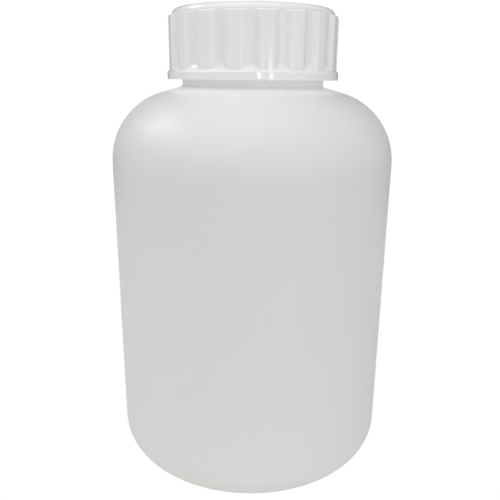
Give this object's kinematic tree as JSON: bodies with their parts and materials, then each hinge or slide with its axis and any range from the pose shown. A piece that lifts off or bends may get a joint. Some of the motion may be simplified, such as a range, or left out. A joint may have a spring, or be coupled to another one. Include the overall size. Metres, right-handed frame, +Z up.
{
  "type": "wide-mouth bottle",
  "caption": "Cylindrical translucent plastic bottle with rounded shoulders, a wide threaded neck and a ribbed, flanged screw cap with a foam sealing liner.",
  "frame": {"origin": "centre of the standing ring, in the plane of the surface that the bottle stands on", "axes": "+Z up along the axis of the bottle, neck and cap; X lies in the mould's parting plane"},
  "size_m": [0.103, 0.103, 0.168],
  "materials": {
    "bottle": "natural translucent polyethylene with a soft satin skin",
    "cap": "off-white moulded polypropylene, semi-gloss",
    "liner": "fine closed-cell polyethylene foam"
  },
  "bodies": {
    "bottle": {"bottle": "bottle"},
    "liner": {"liner": "liner"},
    "cap": {"screw_cap": "cap"}
  },
  "joints": [
    {"name": "cap_lift", "type": "slide", "parent": "bottle", "child": "liner", "axis": [0, 0, 1], "range_m": [0, 0.025]},
    {"name": "cap_turn", "type": "hinge", "parent": "liner", "child": "cap", "pos_m": [0, 0, 0.15], "axis": [0, 0, 1], "range_deg": [0, 1800]}
  ],
  "couplings": [
    {"joint": "cap_lift", "follows": "cap_turn", "m_per_rad": 0.00079577}
  ]
}
